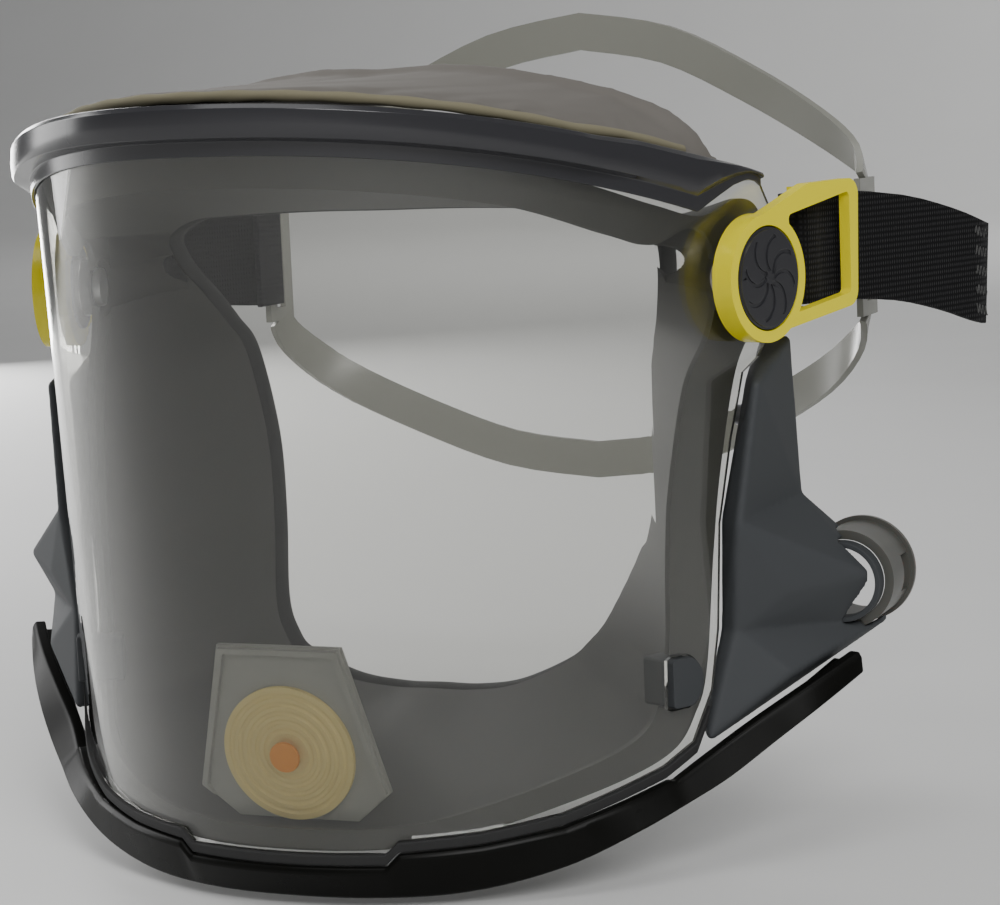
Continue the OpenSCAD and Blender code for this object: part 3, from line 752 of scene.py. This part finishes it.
@dataclass(frozen=True)
class BrowUnit:
    """The gloss rim, the felt forehead pad behind it and the piping between them."""

    rim_end: float = 66.0
    roll_radius: float = 5.0
    cell: float = 2.2 * MM
    pressure: float = 4.0
    moments: int = 12
    stray: float = 0.8 * MM
    roll: tuple = (
        (0, 0, 2, 54), (13, 23, 2, 54.5), (26, 46, 2, 51), (38, 69, 2, 45), (47, 83, 3, 38.5),
        (54, 90, 5, 31), (60, 93.5, 8, 24),
    )

    def rim_section(self, t: float) -> list[tuple[float, float]]:
        """The rim's section at an angle, as (offset, height)."""
        out = lookup(abs(t), FACE.rim_reach)
        back = lookup(abs(t), ((0, -10), (45, -8), (66, -4)))
        low = FACE.head(t) + 0.3
        tall = FACE.rim_top(t) - low
        lip = 2.3
        return [(back, low), (lip, low), (lip, low - 1.4), (lip + 0.9, low - 1.4),
                (lip + 0.9, low + tall * 0.2), (out - 0.5, low + tall * 0.28), (out - 0.05, low + tall * 0.4),
                (out, low + tall * 0.62), (out - 0.4, low + tall * 0.9), (out - 1.6, low + tall),
                (back, low + tall)]

    def rim(self) -> None:
        """Makes the gloss rim."""
        keys = [k for k, _ in FACE.ear] + [k for k, _ in FACE.rim_reach] + [k for k, _ in FACE.temple]
        rim = FACE.band("brow_rim", angles(self.rim_end, 1.2, keys), self.rim_section)
        soft_bevel(rim, 0.55 * MM, 24)
        smooth(rim, 40, True)
        seat(rim, MASK, Finish.GLOSS.material, ["brow_frame"])

    def pad(self) -> None:
        """Makes the forehead pad, plumped up as foam under felt."""
        half = curve(self.roll, 6)
        line = [[-p[0], -p[1], p[2], p[3]] for p in reversed(half[1:])] + half
        rings = []
        for angle, across, deep, tall in line:
            front = FACE.at(angle, FACE.rim_top(angle) + 1.9, -9) / MM
            back = Vector((across, deep, tall))
            way = (back - front).normalized()
            up = (Vector((0, 0, 1)) - way * way.z).normalized()
            end = (abs(angle) / 60) ** 4
            radius = self.roll_radius - 0.8 * end
            pucker = 0.25 * math.sin(angle * 0.9) + 0.15 * math.sin(angle * 2.3 + 1)
            middle = front * 0.5 + back * 0.5
            ring = [front - up * 1.1, middle - up * 1.6, back - way * (radius + 1) - up * 2.2]
            for k in range(-4, 5):
                turn = math.radians(35 * k)
                ring.append(back + (way * math.cos(turn) + up * math.sin(turn)) * (radius + 0.3 * pucker))
            ring += [back - way * (radius + 2.5) + up * (2.3 + pucker), middle + up * 1.4, front + up * 1.1]
            rings.append([p * MM for p in ring])
        pad = loft("forehead_pad", rings)
        self.plump(pad)
        apply_modifier(pad, "SUBSURF", levels=1, render_levels=1)
        smooth(pad, 180)
        seat(pad, MASK, Finish.FELT.material, ["forehead_seal"])

    def plump(self, pad: bpy.types.Object) -> None:
        """Inflates the pad a little with a cloth simulation, each point kept near its start.

        Args:
            pad: the pad's mesh object.
        """
        apply_modifier(pad, "REMESH", mode="VOXEL", voxel_size=self.cell, use_smooth_shade=True)
        start = [v.co.copy() for v in pad.data.vertices]
        activate(pad)
        cloth = pad.modifiers.new("cloth", "CLOTH")
        cloth.settings.use_pressure = True
        cloth.settings.uniform_pressure_force = self.pressure
        cloth.settings.effector_weights.gravity = 0.0
        cloth.settings.quality = 4
        cloth.point_cache.frame_start, cloth.point_cache.frame_end = 1, self.moments
        for moment in range(1, self.moments + 1):
            bpy.context.scene.frame_set(moment)
        activate(pad)
        bpy.ops.object.modifier_apply(modifier=cloth.name)
        bpy.context.scene.frame_set(1)
        for vertex, origin in zip(pad.data.vertices, start):
            step = vertex.co - origin
            if step.length > self.stray:
                vertex.co = origin + step.normalized() * self.stray

    def piping(self) -> None:
        """Makes the thin piping, bulging a little between its stitches."""
        def section(t: float) -> list[tuple[float, float]]:
            """The cord's round section at an angle."""
            r, turns = 1.35 + 0.12 * math.sin(t * 7.0), [k * math.pi / 6 for k in range(12)]
            return [(-5 + r * math.cos(a), FACE.rim_top(t) + 1.65 + r * math.sin(a)) for a in turns]

        cord = FACE.band("brow_cord", angles(58, 0.8), section)
        smooth(cord, 60)
        seat(cord, MASK, Finish.PIPING.material, ["brow_piping"])

    def build(self) -> None:
        """Makes the whole brow."""
        self.rim()
        self.pad()
        self.piping()


@dataclass(frozen=True)
class FaceOpening:
    """The inner face frame and the soft lip round the face opening, in millimetres."""

    outer: tuple = (
        (0, 38), (20, 36), (38, 30), (51, 20), (57, 16), (62, 19.5), (65, 17), (66.2, 8), (65.9, -4),
        (64.4, -13), (61.2, -25), (58.5, -50), (57, -72), (55.5, -100), (53.6, -112), (49.2, -121.8),
        (36, -129.4), (18, -136.6), (0, -137.6),
    )
    inner: tuple = (
        (0, -8, 21), (24, -8, 21), (48, -4, 20), (61, 0, 19), (70, 3.5, 16), (73.6, 5.5, 12.5),
        (74, 8.5, 8.5), (73, 13, 3), (70.5, 20, -4), (67.5, 27, -12.5), (64.5, 33, -22), (62, 39, -48),
        (60, 37, -72), (53, 22, -95), (47, 15.5, -104), (41, 13, -109), (26, 13, -115.5), (12, 15, -118),
        (0, 15, -118),
    )
    middle: float = -48.0
    wall: float = 2.2
    flange: tuple = ((-138, 0.965), (-110, 0.94), (-60, 0.92))
    lip_depth: float = 10.0
    lip_thickness: float = 4.4
    steps: int = 10

    def loops(self) -> tuple[list, list]:
        """The outer and the inner outline, point by point."""
        return curve(mirrored(self.outer), self.steps, True), curve(mirrored(self.inner), self.steps, True)

    def outward(self, p: Sequence[float]) -> Vector:
        """Direction away from the middle of the face, upright."""
        return Vector((p[0], 0, p[2] - self.middle)).normalized()

    def frame_piece(self) -> None:
        """Makes the inner face frame with its grooved flange."""
        rings = []
        for o, p in zip(*self.loops()):
            def place(grow: float, off: float) -> Vector:
                """The outline's point drawn in or out, so far in front of the face."""
                return FACE.at(o[0] * grow, self.middle + (o[1] - self.middle) * grow, off)

            edge = lookup(o[1], self.flange)
            rings.append([Vector(p) * MM, place(0.985, -6), place(edge, -5.2), place(edge, -3.2),
                          place(1.02, -0.7), place(1.02, -3), (Vector(p) + self.outward(p) * self.wall) * MM])
        frame_piece = loft("face_frame_wall", rings, loop=True)
        for number, side in ((1, "left"), (-1, "right")):
            cut(frame_piece, PIVOT.plug(number, 0.0085, (-0.03, 0.01)))
            cut(frame_piece, VisorUnit().window(side, 1.06))
        soft_bevel(frame_piece, 0.3 * MM, 35, 2)
        smooth(frame_piece, 40, True)
        seat(frame_piece, MASK, Finish.FRAME.material, ["face_frame"])

    def lip_piece(self) -> None:
        """Makes the soft lip."""
        rings = []
        for p in self.loops()[1]:
            out = self.outward(p)
            mid = Vector(p) + out * (self.lip_thickness / 2 - 0.6) + Vector((0, self.lip_depth / 2 + 0.3, 0))
            ring = []
            for k in range(20):
                a = math.tau * k / 20
                ring.append((mid - out * math.cos(a) * self.lip_thickness / 2
                             + Vector((0, math.sin(a) * self.lip_depth / 2, 0))) * MM)
            rings.append(ring)
        lip = loft("face_lip", rings, loop=True)
        smooth(lip, 180)
        seat(lip, MASK, Finish.RUBBER.material, ["face_seal"])

    def build(self) -> None:
        """Makes both."""
        self.frame_piece()
        self.lip_piece()


@dataclass(frozen=True)
class ChinUnit:
    """The chin cover and the stepped gasket over it, in millimetres."""

    ridge_drop: float = 3.4
    wall: float = 3.0
    outer: tuple = ((0, 4), (26, 4), (36, 4.5), (44, 5.5), (50, 6), (55, 8), (60, 13), (65, 19), (70, 25))
    ridge: tuple = ((50, -129), (55, -122.8), (60, -115.4), (65, -108.3), (70, -101.5))
    bottom: tuple = ((0, 1), (14, 1.3), (26, 3), (36, 6), (44, 9), (50, 11), (55, 14), (60, 18), (65, 22),
                     (70, 26))
    low: tuple = ((0, -152), (15.7, -152), (26, -150.5), (36, -146), (44, -139.5), (50, -134), (55, -128.5),
                  (60, -121), (65, -114), (70, -107))

    def section(self, t: float) -> list[tuple[float, float]]:
        """The cover's section at an angle, as (offset, height)."""
        a = abs(t)
        out, under, low = (lookup(a, curve(rows, 6)) for rows in (self.outer, self.bottom, self.low))
        ridge = FACE.foot_at(a) - self.ridge_drop if a < 50 else lookup(a, curve(self.ridge, 6))
        lean = self.wall * (under - out) / (ridge - low)
        return [(under - 10, low + 1), (under - 3, low - 1), (under, low), (out + 0.6, ridge - 1.5),
                (out - 0.4, ridge), (out - self.wall - 0.5, ridge),
                (under - self.wall - 1 - lean, low + self.wall),
                (under - 10, low + self.wall)]

    def build(self) -> None:
        """Makes the cover and the gasket."""
        keys = [k for k, _ in FACE.foot if k < 50] + [k for k, _ in self.outer]
        cover = FACE.band("chin_band", angles(70, 1.2, keys), self.section)
        soft_bevel(cover, 0.6 * MM, 24)
        smooth(cover, 40, True)
        seat(cover, MASK, Finish.CHIN.material, ["chin_cover"])
        stations = angles(55.9, 1.2, [k for k, _ in FACE.foot])
        gasket = FACE.band("chin_seal", stations, lambda t: [
            (-0.4, FACE.foot_at(t) - 3), (3.2, FACE.foot_at(t) - 3),
            (3.2, FACE.foot_at(t) - 0.3), (-0.4, FACE.foot_at(t) - 0.3)])
        soft_bevel(gasket, 0.4 * MM, 40)
        smooth(gasket, 40, True)
        seat(gasket, MASK, Finish.RUBBER.material, ["chin_gasket"])


@dataclass(frozen=True)
class SideCovers:
    """The moulded side covers, with every edge drawn out to a soft radius.

    Attributes:
        voxel: the skin's cell, in metres.
        passes: how many times the skin is relaxed.
    """

    voxel: float = 0.75 * MM
    passes: int = 6

    def build(self) -> None:
        """Makes both covers."""
        for side in SIDES:
            cover = cad_copy("side_cover_" + side, "side_wing_" + side)
            apply_modifier(cover, "REMESH", mode="VOXEL", voxel_size=self.voxel, use_smooth_shade=True)
            apply_modifier(cover, "SMOOTH", factor=0.5, iterations=self.passes)
            smooth(cover, 180)
            seat(cover, MASK, Finish.SATIN.material, ["side_cover_" + side])


@dataclass(frozen=True)
class TailStitches:
    """Pale zigzag threads that hem the free end of each strap.

    Attributes:
        rows: how many threads.
        thread: a thread's radius, in millimetres.
    """

    rows: int = 5
    thread: float = 0.17

    def build(self) -> None:
        """Sews both tails."""
        for number, side in ((1, "left"), (-1, "right")):
            for row in range(self.rows):
                self.sew(number, side, row)

    def sew(self, number: int, side: str, row: int) -> None:
        """Makes one thread on the tail's outer face.

        Args:
            number: 1 for the wearer's left, -1 for the right.
            side: the side's name.
            row: which thread, from the top.
        """
        end, inner = Vector((140.0, 118.0, -8.0)), Vector((139.0, 110.0, -6.5))
        way = (inner - end).normalized()
        out = Vector((way.y, -way.x, 0)).normalized()
        out = out if out.x > 0 else -out
        middle = 11.5 - 5.75 * row
        rings = []
        for k in range(31):
            along = 1.6 + 0.3 * k
            spot = end + way * along + out * 1.15 + Vector((0, 0, middle + 1.3 * math.sin(k * 0.75 + row)))
            ring = [spot + (out * math.cos(a) + Vector((0, 0, 1)) * math.sin(a)) * self.thread
                    for a in (math.tau * j / 6 for j in range(6))]
            rings.append([Vector((p.x * number, p.y, p.z)) * MM for p in ring])
        thread = loft("hem_thread_%s_%d" % (side, row), rings)
        smooth(thread, 60)
        seat(thread, "harness", Finish.THREAD.material)


# ---- studio --------------------------------------------------------------------------------------


@dataclass(frozen=True)
class Studio:
    """Camera, floor and soft lights.

    Attributes:
        azimuth: camera's angle round the object, in degrees.
        elevation: camera's angle above the horizon, in degrees.
        roll: camera's tilt about its own axis, in degrees.
        distance: camera's distance from its target.
        target: the point that it looks at.
        field: horizontal field of view, in degrees.
    """

    azimuth: float = 22.5
    elevation: float = 7.2
    roll: float = -2.4
    distance: float = 0.770
    target: tuple[float, float, float] = (0.0355, -0.013, -0.0456)
    field: float = 20.0

    def camera(self) -> None:
        """Places the camera and makes it the scene's."""
        a, e = math.radians(self.azimuth), math.radians(self.elevation)
        back = Vector((math.sin(a) * math.cos(e), -math.cos(a) * math.cos(e), math.sin(e)))
        right = Vector((math.cos(a), math.sin(a), 0.0))
        up = back.cross(right)
        r = math.radians(self.roll)
        turned_right = right * math.cos(r) + up * math.sin(r)
        turned_up = up * math.cos(r) - right * math.sin(r)
        data = bpy.data.cameras.new("camera")
        data.sensor_width = 36.0
        data.lens = data.sensor_width / 2 / math.tan(math.radians(self.field) / 2)
        data.clip_start = 0.01
        camera = bpy.data.objects.new("camera", data)
        bpy.context.scene.collection.objects.link(camera)
        turn = Matrix((turned_right, turned_up, back)).transposed()
        camera.matrix_world = Matrix.Translation(Vector(self.target) + back * self.distance) @ turn.to_4x4()
        bpy.context.scene.camera = camera

    def light(self, name: str, place: Sequence[float], size: tuple[float, float], power: float,
              aim: Sequence[float] = (0.0, 0.0, -0.04)) -> None:
        """Adds a soft rectangular light aimed at a point."""
        data = bpy.data.lights.new(name, "AREA")
        data.shape = "RECTANGLE"
        data.size, data.size_y = size
        data.energy = power
        lamp = bpy.data.objects.new(name, data)
        bpy.context.scene.collection.objects.link(lamp)
        lamp.visible_camera = False
        way = Vector(aim) - Vector(place)
        lamp.matrix_world = Matrix.Translation(place) @ way.to_track_quat("-Z", "Y").to_matrix().to_4x4()

    def floor(self) -> None:
        """Lays a pale floor that rises to a wall far behind the object."""
        deselect_all()
        bpy.ops.mesh.primitive_grid_add(x_subdivisions=1, y_subdivisions=40, size=1.0)
        floor = bpy.context.object
        floor.name = "floor"
        under, run, bend = cad_box[0].z - 0.002, 3.4, 1.2
        for vertex in floor.data.vertices:
            share = vertex.co.y + 0.5
            if share <= 0.5:
                y, z = -4.0 + (run + 4.0) * share * 2, 0.0
            elif share <= 0.9:
                turn = (share - 0.5) / 0.4 * math.pi / 2
                y, z = run + bend * math.sin(turn), bend * (1 - math.cos(turn))
            else:
                y, z = run + bend, bend + (share - 0.9) * 30
            vertex.co = (vertex.co.x * 14, y, under + z)
        edit_mesh(floor, lambda: bpy.ops.mesh.normals_make_consistent(inside=True))
        smooth(floor, 60)
        g = Graph("pale_floor")
        tone = g.mix(g.span(g.noise(6, 3), 0, 1), (0.7, 0.7, 0.69), (0.74, 0.74, 0.73))
        g.drive(Base_Color=tone)
        g.set(Roughness=0.75)
        floor.data.materials.append(g.material)

    def world(self) -> None:
        """Sets an even pale surround."""
        world = bpy.data.worlds.new("surround")
        world.use_nodes = True
        sky = world.node_tree.nodes["Background"]
        sky.inputs["Color"].default_value = (0.82, 0.83, 0.85, 1.0)
        sky.inputs["Strength"].default_value = 0.2
        bpy.context.scene.world = world

    def build(self) -> None:
        """Makes the whole studio."""
        self.camera()
        self.floor()
        self.world()
        self.light("edge", (-1.08, 1.15, 0.15), (0.28, 1.5), 18)
        self.light("window", (-1.45, 0.1, 0.35), (0.8, 1.3), 14)
        self.light("key", (1.0, -1.2, 1.0), (0.8, 0.8), 20)
        self.light("top", (0.0, -0.5, 1.6), (1.3, 0.9), 8)
        self.light("backdrop", (0.3, 2.3, 1.6), (2.4, 0.8), 40, (0.0, 4.6, 0.2))


# ---- the object ----------------------------------------------------------------------------------


def build_object() -> None:
    """Builds every piece, sub-assembly by sub-assembly."""
    for unit in (VisorUnit(), BrowUnit(), FaceOpening(), ChinUnit(), SideCovers(), TailStitches()):
        unit.build()
    plain = [
        Dressed("valve_housing", MASK, Finish.PLATE, 0.2 * MM),
        Dressed("valve_seat", MASK, Finish.AMBER, 0.15 * MM),
        Dressed("valve_stud", MASK, Finish.ORANGE, 0.3 * MM),
        Dressed("valve_membrane", "valve", Finish.AMBER, 0.0),
        Dressed("head_cradle", "harness", Finish.CRADLE),
        Dressed("hose_port", MASK, Finish.COLLAR),
        Dressed("air_duct", MASK, Finish.SATIN),
        Dressed("cover_screws", MASK, Finish.STEEL, 0.2 * MM),
    ]
    for side in SIDES:
        plain += [
            Dressed("latch_tab_" + side, "latch_" + side, Finish.SATIN, 0.5 * MM),
            Dressed("pivot_bush_" + side, MASK, Finish.SATIN),
            Dressed("pivot_bolt_" + side, MASK, Finish.STEEL),
            Dressed("pivot_knob_" + side, "knob_" + side, Finish.GLOSS, 0.2 * MM),
            Dressed("buckle_" + side, "buckle_" + side, Finish.YELLOW, 0.9 * MM),
            Dressed("strap_" + side, "harness", Finish.ELASTIC, 0.3 * MM),
        ]
    for item in plain:
        item.build()


def main() -> None:
    """Builds the studio and the object."""
    logging.basicConfig(level=logging.INFO, format="%(message)s")
    Studio().build()
    build_object()


if __name__ == "__main__":
    main()
